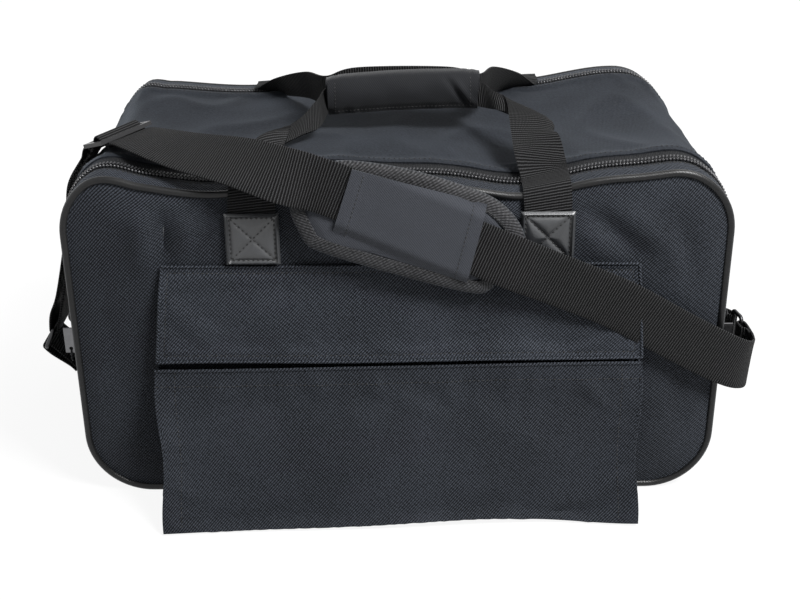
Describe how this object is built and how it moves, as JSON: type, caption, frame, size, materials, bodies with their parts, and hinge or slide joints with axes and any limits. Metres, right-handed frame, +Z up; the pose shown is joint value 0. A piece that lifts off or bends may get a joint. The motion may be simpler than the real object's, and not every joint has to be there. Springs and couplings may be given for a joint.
{
  "type": "padded gig bag",
  "caption": "Box-shaped padded gig bag with zipped fold-down front and back doors, a flapped front pocket, webbing carry handles with a wrap grip, and a padded shoulder strap.",
  "frame": {"origin": "centre of the base's flat face, which the bag stands on", "axes": "X along the bag, to the right seen from the front; -Y towards the front with the pocket; +Z up"},
  "size_m": [0.6264, 0.3591, 0.341],
  "materials": {
    "outer_fabric": "coated twill",
    "foam": "soft foam sheet",
    "lining": "brushed nylon",
    "padding": "padded nylon",
    "trim": "smooth binding",
    "zip": "nylon coil",
    "webbing": "ribbed webbing",
    "leatherette": "grained",
    "hardware": "black lacquer",
    "buckle": "gloss",
    "board": "matt"
  },
  "bodies": {
    "bag_body": {"band_skin": "outer_fabric", "base_skin": "outer_fabric", "band_foam": "foam", "band_lining": "lining", "base_board": "board", "front_lower_skin": "outer_fabric", "front_lower_foam": "foam", "front_lower_lining": "lining", "front_lower_rim": "outer_fabric", "front_lower_piping": "trim", "back_lower_skin": "outer_fabric", "back_lower_foam": "foam", "back_lower_lining": "lining", "back_lower_rim": "outer_fabric", "back_lower_piping": "trim", "pouch": "outer_fabric", "pouch_hem": "trim", "front_zip_band": "zip", "back_zip_band": "zip", "strap_tail_left": "webbing", "strap_tail_right": "webbing", "left_anchor": "webbing", "right_anchor": "webbing"},
    "front_door": {"front_door_skin": "outer_fabric", "front_door_foam": "foam", "front_door_lining": "lining", "front_door_rim": "outer_fabric", "front_door_piping": "trim", "front_zip_door": "zip", "front_patches": "leatherette", "front_handle": "webbing", "grip_wrap": "padding", "strap_front": "webbing", "shoulder_pad": "padding", "pad_binding": "trim", "pad_sleeve": "outer_fabric"},
    "back_door": {"back_door_skin": "outer_fabric", "back_door_foam": "foam", "back_door_lining": "lining", "back_door_rim": "outer_fabric", "back_door_piping": "trim", "back_zip_door": "zip", "back_patches": "leatherette", "back_handle": "webbing"},
    "pocket_flap": {"pocket_flap": "outer_fabric"},
    "grip_flap": {"grip_flap": "outer_fabric"},
    "tri_glide": {"tri_glide": "buckle"},
    "left_ring": {"left_ring": "hardware"},
    "right_ring": {"right_ring": "hardware"},
    "front_left_slider": {"front_left_slider": "hardware"},
    "front_left_pull": {"front_left_pull": "hardware"},
    "front_right_slider": {"front_right_slider": "hardware"},
    "front_right_pull": {"front_right_pull": "hardware"},
    "back_left_slider": {"back_left_slider": "hardware"},
    "back_left_pull": {"back_left_pull": "hardware"},
    "back_right_slider": {"back_right_slider": "hardware"},
    "back_right_pull": {"back_right_pull": "hardware"}
  },
  "joints": [
    {"name": "front_door_fold", "type": "hinge", "parent": "bag_body", "child": "front_door", "pos_m": [0, -0.1504, 0.131], "axis": [1, 0, 0], "range_deg": [0, 90], "deforming": ["strap_front", "strap_tail_left", "strap_tail_right"]},
    {"name": "back_door_fold", "type": "hinge", "parent": "bag_body", "child": "back_door", "pos_m": [0, 0.1504, 0.131], "axis": [-1, 0, 0], "range_deg": [0, 90]},
    {"name": "pocket_flap_lift", "type": "hinge", "parent": "front_door", "child": "pocket_flap", "pos_m": [0, -0.152, 0.218], "axis": [-1, 0, 0], "range_deg": [0, 120], "deforming": ["shoulder_pad", "pad_binding", "pad_sleeve"]},
    {"name": "grip_flap_open", "type": "hinge", "parent": "front_door", "child": "grip_flap", "pos_m": [0.0055, -0.0177, 0.339], "axis": [-1, 0, 0], "range_deg": [0, 150]},
    {"name": "front_left_zip", "type": "slide", "parent": "bag_body", "child": "front_left_slider", "axis": [0, 0, 1], "range_m": [0, 0.072]},
    {"name": "front_left_pull_swing", "type": "hinge", "parent": "front_left_slider", "child": "front_left_pull", "pos_m": [-0.2801, -0.123, 0.16], "axis": [0, 1, 0], "range_deg": [0, 150]},
    {"name": "front_right_zip", "type": "slide", "parent": "bag_body", "child": "front_right_slider", "axis": [0, 0, 1], "range_m": [0, 0.072]},
    {"name": "front_right_pull_swing", "type": "hinge", "parent": "front_right_slider", "child": "front_right_pull", "pos_m": [0.2801, -0.123, 0.16], "axis": [0, -1, 0], "range_deg": [0, 150]},
    {"name": "back_left_zip", "type": "slide", "parent": "bag_body", "child": "back_left_slider", "axis": [0, 0, 1], "range_m": [0, 0.072]},
    {"name": "back_left_pull_swing", "type": "hinge", "parent": "back_left_slider", "child": "back_left_pull", "pos_m": [-0.2801, 0.123, 0.16], "axis": [0, 1, 0], "range_deg": [0, 150]},
    {"name": "back_right_zip", "type": "slide", "parent": "bag_body", "child": "back_right_slider", "axis": [0, 0, 1], "range_m": [0, 0.072]},
    {"name": "back_right_pull_swing", "type": "hinge", "parent": "back_right_slider", "child": "back_right_pull", "pos_m": [0.2801, 0.123, 0.16], "axis": [0, -1, 0], "range_deg": [0, 150]},
    {"name": "left_ring_swing", "type": "hinge", "parent": "bag_body", "child": "left_ring", "pos_m": [-0.313, -0.075, 0.119], "axis": [0, 1, 0], "range_deg": [-70, 40]},
    {"name": "right_ring_swing", "type": "hinge", "parent": "bag_body", "child": "right_ring", "pos_m": [0.301, -0.08, 0.116], "axis": [0, 0, 1], "range_deg": [-25, 60]},
    {"name": "tri_glide_slide", "type": "slide", "parent": "bag_body", "child": "tri_glide", "axis": [0.7417, -0.6, 0.2997], "range_m": [0, 0.03]}
  ]
}
